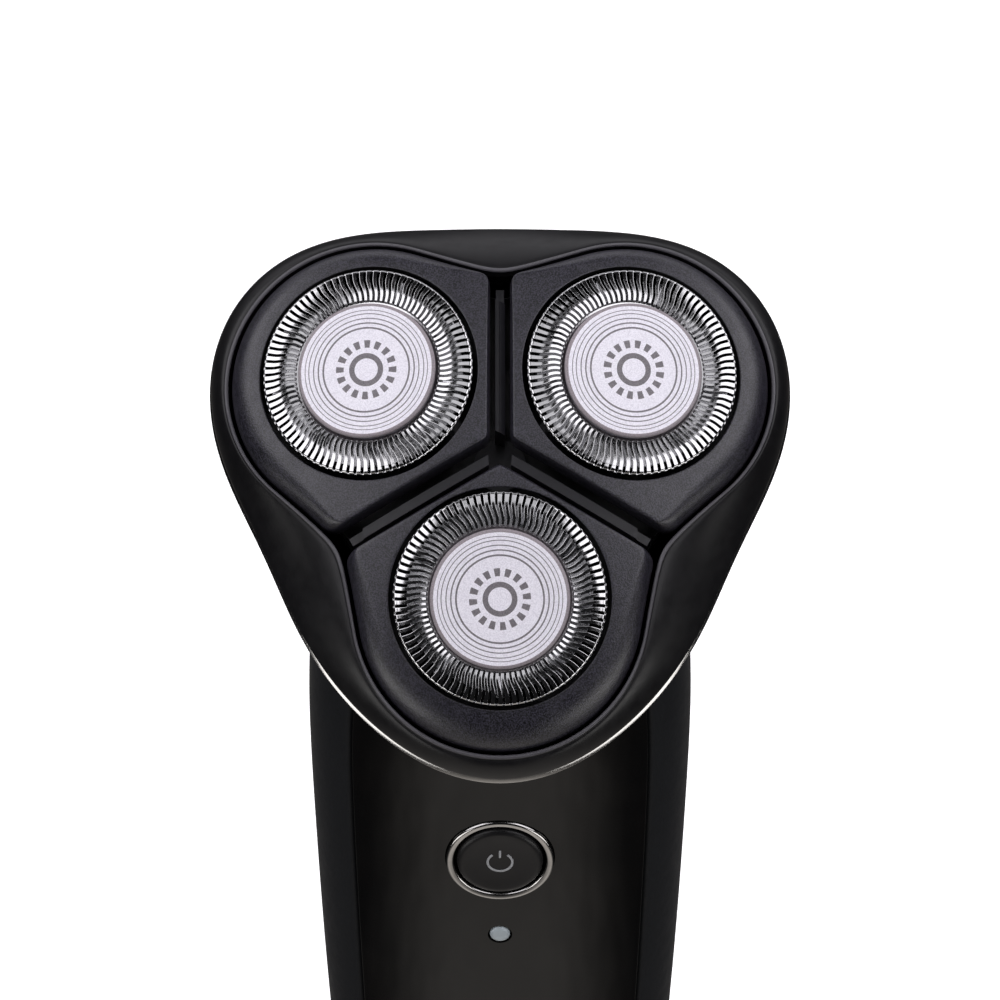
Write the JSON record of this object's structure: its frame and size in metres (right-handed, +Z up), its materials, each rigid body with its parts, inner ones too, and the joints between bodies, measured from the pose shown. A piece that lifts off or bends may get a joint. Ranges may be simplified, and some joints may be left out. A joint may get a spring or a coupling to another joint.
{
  "type": "electric shaver",
  "caption": "Rotary electric shaver standing upright, with a tilted flip-open head, sprung cutting units, slotted guards and a slim handle with a power button.",
  "frame": {"origin": "centre of the flat underside of the bottom cap", "axes": "+Z up the handle, -Y to the front, where the head faces, +X to the right of somebody facing the head"},
  "size_m": [0.0706, 0.0658, 0.1582],
  "materials": {
    "satin_black": "satin",
    "grained_black": "fine grain",
    "gloss_black": "polished",
    "slate": "soft-touch matt",
    "steel": "polished",
    "blade_steel": "ground",
    "cap_white": "pearl satin",
    "chrome": "polished",
    "white_plastic": "satin",
    "motor_steel": "plated",
    "brass": "satin",
    "rubber": "matt",
    "board_green": "lacquered",
    "battery_wrap": "shrink wrap",
    "lens": "translucent"
  },
  "bodies": {
    "handle": {"front_panel": "gloss_black", "left_grip": "slate", "right_grip": "slate", "rear_shell": "satin_black", "bottom_cap": "satin_black", "charging_socket": "satin_black", "charging_pin_left": "brass", "charging_pin_right": "brass", "button_bezel": "chrome", "power_switch": "satin_black", "indicator_lens": "lens", "circuit_board": "board_green", "chassis": "white_plastic", "battery": "battery_wrap", "battery_contact_bottom": "motor_steel", "battery_contact_top": "motor_steel", "neck_seal": "rubber", "hair_chamber": "satin_black", "hinge_ear_left": "satin_black", "hinge_ear_right": "satin_black", "hinge_pin": "motor_steel", "motor": "motor_steel", "gearbox_cover": "satin_black", "gearbox_plate": "satin_black", "gearbox_screw_back": "motor_steel", "gearbox_screw_front_left": "motor_steel", "gearbox_screw_front_right": "motor_steel"},
    "shaving_head": {"head_frame": "satin_black", "chrome_trim": "chrome", "head_hinge_knuckle": "satin_black", "head_latch": "satin_black", "retaining_plate": "satin_black", "rib_frame": "satin_black"},
    "motor_rotor": {"motor_shaft": "motor_steel", "drive_pinion": "brass"},
    "button": {"power_button": "satin_black"},
    "unit_left": {"pod_left": "grained_black"},
    "float_left": {"guard_left": "steel", "cap_disc_left": "cap_white"},
    "rotor_left": {"cutter_left": "blade_steel"},
    "drive_left": {"gear_left": "white_plastic", "spindle_left": "white_plastic", "spindle_spring_left": "motor_steel"},
    "unit_right": {"pod_right": "grained_black"},
    "float_right": {"guard_right": "steel", "cap_disc_right": "cap_white"},
    "rotor_right": {"cutter_right": "blade_steel"},
    "drive_right": {"gear_right": "white_plastic", "spindle_right": "white_plastic", "spindle_spring_right": "motor_steel"},
    "unit_front": {"pod_front": "grained_black"},
    "float_front": {"guard_front": "steel", "cap_disc_front": "cap_white"},
    "rotor_front": {"cutter_front": "blade_steel"},
    "drive_front": {"gear_front": "white_plastic", "spindle_front": "white_plastic", "spindle_spring_front": "motor_steel"}
  },
  "joints": [
    {"name": "head_open", "type": "hinge", "parent": "handle", "child": "shaving_head", "pos_m": [0, 0.00743, 0.15186], "axis": [-1, 0, 0], "range_deg": [0, 90]},
    {"name": "pod_left_tilt", "type": "hinge", "parent": "shaving_head", "child": "unit_left", "pos_m": [-0.00433, -0.01816, 0.14331], "axis": [-0.5, -0.6634, -0.5567], "range_deg": [0, 2.5], "stiffness_Nm_per_rad": 0.5, "springref_deg": -0.57},
    {"name": "guard_left_float", "type": "slide", "parent": "unit_left", "child": "float_left", "axis": [-0.1652, -0.5579, 0.8133], "range_m": [-0.0006, 0], "stiffness_N_per_m": 900, "springref_m": 0.0002},
    {"name": "cutter_left_spin", "type": "hinge", "parent": "float_left", "child": "rotor_left", "pos_m": [-0.01585, -0.01499, 0.14988], "axis": [-0.1652, -0.5579, 0.8133], "continuous": true},
    {"name": "drive_left_spin", "type": "hinge", "parent": "handle", "child": "drive_left", "pos_m": [-0.01524, -0.0053, 0.13778], "axis": [0, -0.6428, 0.766], "continuous": true},
    {"name": "pod_right_tilt", "type": "hinge", "parent": "shaving_head", "child": "unit_right", "pos_m": [0.00433, -0.01816, 0.14331], "axis": [-0.5, 0.6634, 0.5567], "range_deg": [0, 2.5], "stiffness_Nm_per_rad": 0.5, "springref_deg": -0.57},
    {"name": "guard_right_float", "type": "slide", "parent": "unit_right", "child": "float_right", "axis": [0.1652, -0.5579, 0.8133], "range_m": [-0.0006, 0], "stiffness_N_per_m": 900, "springref_m": 0.0002},
    {"name": "cutter_right_spin", "type": "hinge", "parent": "float_right", "child": "rotor_right", "pos_m": [0.01585, -0.01499, 0.14988], "axis": [0.1652, -0.5579, 0.8133], "continuous": true},
    {"name": "drive_right_spin", "type": "hinge", "parent": "handle", "child": "drive_right", "pos_m": [0.01524, -0.0053, 0.13778], "axis": [0, -0.6428, 0.766], "continuous": true},
    {"name": "pod_front_tilt", "type": "hinge", "parent": "shaving_head", "child": "unit_front", "pos_m": [0, -0.0239, 0.13849], "axis": [1, 0, 0], "range_deg": [0, 2.5], "stiffness_Nm_per_rad": 0.5, "springref_deg": -0.57},
    {"name": "guard_front_float", "type": "slide", "parent": "unit_front", "child": "float_front", "axis": [0, -0.7771, 0.6293], "range_m": [-0.0006, 0], "stiffness_N_per_m": 900, "springref_m": 0.0002},
    {"name": "cutter_front_spin", "type": "hinge", "parent": "float_front", "child": "rotor_front", "pos_m": [0, -0.03602, 0.13224], "axis": [0, -0.7771, 0.6293], "continuous": true},
    {"name": "drive_front_spin", "type": "hinge", "parent": "handle", "child": "drive_front", "pos_m": [0, -0.02552, 0.12081], "axis": [0, -0.6428, 0.766], "continuous": true},
    {"name": "motor_spin", "type": "hinge", "parent": "handle", "child": "motor_rotor", "pos_m": [0, -0.01204, 0.13213], "axis": [0, -0.6428, 0.766], "continuous": true},
    {"name": "power_button_press", "type": "slide", "parent": "handle", "child": "button", "axis": [0, 1, 0], "range_m": [0, 0.0008], "stiffness_N_per_m": 800}
  ],
  "couplings": [
    {"joint": "cutter_left_spin", "follows": "drive_left_spin", "ratio": 1},
    {"joint": "cutter_right_spin", "follows": "drive_left_spin", "ratio": 1},
    {"joint": "drive_right_spin", "follows": "drive_left_spin", "ratio": 1},
    {"joint": "cutter_front_spin", "follows": "drive_left_spin", "ratio": 1},
    {"joint": "drive_front_spin", "follows": "drive_left_spin", "ratio": 1},
    {"joint": "motor_spin", "follows": "drive_left_spin", "ratio": -1.6667}
  ]
}
